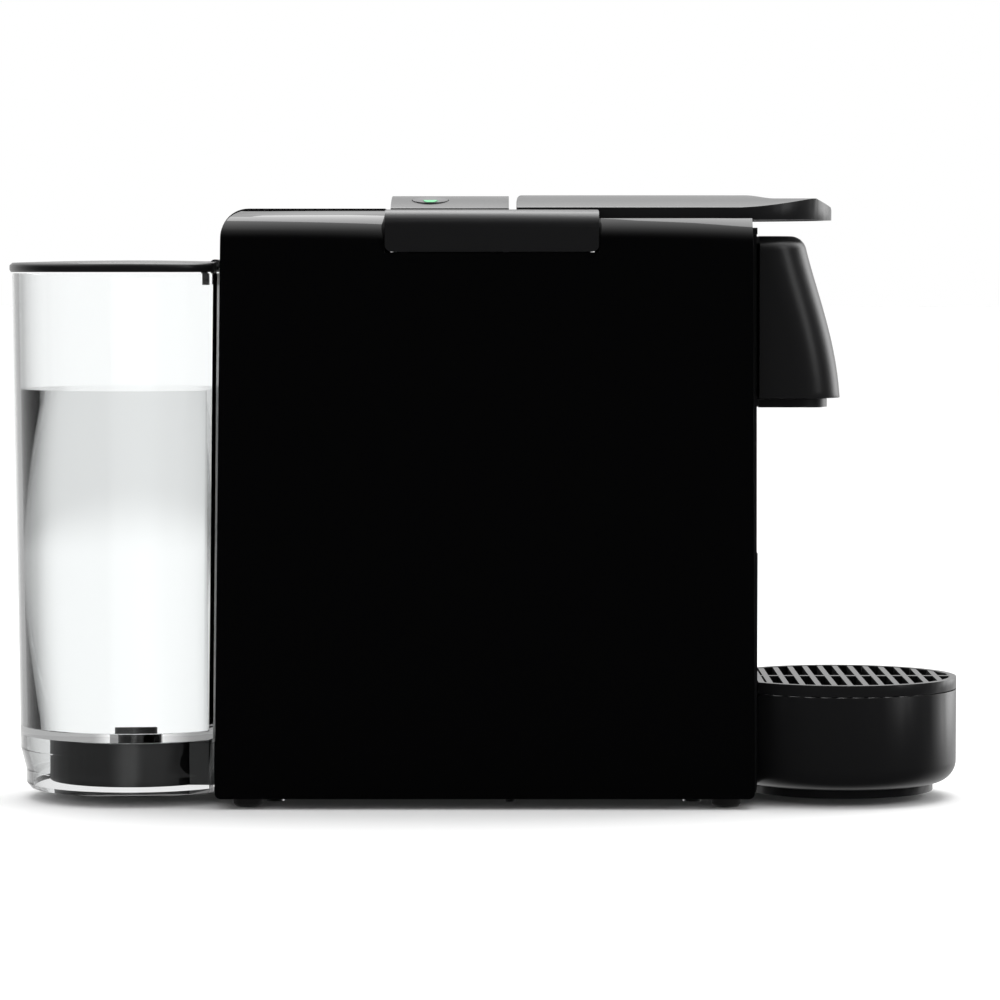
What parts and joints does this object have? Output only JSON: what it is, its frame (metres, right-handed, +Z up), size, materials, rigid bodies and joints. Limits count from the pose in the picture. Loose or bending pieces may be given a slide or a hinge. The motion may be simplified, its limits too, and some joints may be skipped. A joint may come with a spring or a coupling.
{
  "type": "pod coffee machine",
  "caption": "Narrow capsule coffee machine with glossy side panels, round clear water tank behind, lifting lever on top and a round drip tray in front.",
  "frame": {"origin": "middle of the footprint, on the worktop", "axes": "+X towards the cup side, +Y to the machine's left, +Z up"},
  "size_m": [0.3243, 0.0848, 0.2059],
  "materials": {
    "gloss_black": "high gloss",
    "satin_black": "satin",
    "satin_grey": "satin",
    "matte_black": "matte",
    "button_plastic": "satin, dished, with a green cup symbol",
    "clear_tank": "clear, glossy",
    "steel": "bright",
    "rubber": "matte",
    "heater_metal": "cast",
    "pump_plastic": "natural nylon",
    "coil_plastic": "moulded",
    "board_green": "solder mask",
    "hose_silicone": "translucent silicone"
  },
  "bodies": {
    "machine": {"base_plate": "matte_black", "base_screws": "steel", "board_bracket": "matte_black", "board_switches": "matte_black", "brew_hose": "hose_silicone", "bulkhead_wall": "matte_black", "cage_seal": "rubber", "capsule_cage": "matte_black", "chamber_bridge": "satin_black", "chamber_cover": "satin_black", "chamber_screws": "steel", "chamber_side_left": "steel", "chamber_side_right": "steel", "coffee_spout": "matte_black", "control_board": "board_green", "control_saddle": "satin_grey", "cord_gland": "matte_black", "feed_hose": "hose_silicone", "feet": "rubber", "flow_meter": "pump_plastic", "front_frame": "satin_black", "inlet_elbow": "matte_black", "lever_axle": "steel", "nose_base": "satin_black", "nose_cover": "satin_grey", "outlet_channel": "satin_black", "piercing_needles": "steel", "pressure_hose": "hose_silicone", "pump_body": "pump_plastic", "pump_coil": "coil_plastic", "pump_cradle": "matte_black", "pump_mounts": "rubber", "pump_yoke": "steel", "rear_frame": "satin_black", "side_panel_left": "gloss_black", "side_panel_right": "gloss_black", "spigot_seal": "rubber", "suction_hose": "hose_silicone", "tank_seat": "satin_black", "tank_spigot": "matte_black", "thermoblock": "heater_metal"},
    "lever": {"lever_shell": "satin_grey", "lever_underside": "matte_black", "lever_arms": "steel"},
    "carriage": {"brew_carriage": "matte_black", "extraction_plate": "steel", "carriage_yokes": "steel"},
    "right_button": {"button_right": "button_plastic"},
    "left_button": {"button_left": "button_plastic"},
    "tank": {"water_tank": "clear_tank", "tank_valve": "satin_black", "valve_poppet": "matte_black", "tank_filter": "satin_black", "lid_pin": "steel"},
    "lid": {"tank_lid": "satin_grey"},
    "tray": {"drip_tray": "satin_black"},
    "grid": {"cup_grid": "satin_grey"},
    "container": {"capsule_container": "satin_black"},
    "piston": {"pump_piston": "steel"},
    "rotor": {"flow_rotor": "pump_plastic"}
  },
  "joints": [
    {"name": "lever_hinge", "type": "hinge", "parent": "machine", "child": "lever", "pos_m": [0.029, 0, 0.196], "axis": [0, -1, 0], "range_deg": [0, 80]},
    {"name": "carriage_slide", "type": "slide", "parent": "machine", "child": "carriage", "axis": [1, 0, 0], "range_m": [0, 0.02893]},
    {"name": "button_right_press", "type": "slide", "parent": "machine", "child": "right_button", "axis": [0, 0.165, -0.9863], "range_m": [0, 0.001], "stiffness_N_per_m": 400},
    {"name": "button_left_press", "type": "slide", "parent": "machine", "child": "left_button", "axis": [0, -0.165, -0.9863], "range_m": [0, 0.001], "stiffness_N_per_m": 400},
    {"name": "tank_lift", "type": "slide", "parent": "machine", "child": "tank", "axis": [0, 0, 1], "range_m": [0, 0.2]},
    {"name": "lid_hinge", "type": "hinge", "parent": "tank", "child": "lid", "pos_m": [-0.091, 0, 0.1821], "axis": [0, 1, 0], "range_deg": [0, 80]},
    {"name": "tray_slide", "type": "slide", "parent": "machine", "child": "tray", "axis": [1, 0, 0], "range_m": [0, 0.1]},
    {"name": "grid_lift", "type": "slide", "parent": "tray", "child": "grid", "axis": [0, 0, 1], "range_m": [0, 0.06]},
    {"name": "container_lift", "type": "slide", "parent": "tray", "child": "container", "axis": [0, 0, 1], "range_m": [0, 0.04]},
    {"name": "piston_stroke", "type": "slide", "parent": "machine", "child": "piston", "axis": [0, 0, 1], "range_m": [-0.002, 0.002], "stiffness_N_per_m": 1500},
    {"name": "rotor_spin", "type": "hinge", "parent": "machine", "child": "rotor", "pos_m": [-0.024, 0.0245, 0.024], "axis": [0, 1, 0], "continuous": true}
  ],
  "couplings": [
    {"joint": "carriage_slide", "follows": "lever_hinge", "m_per_rad": 0.020716}
  ]
}
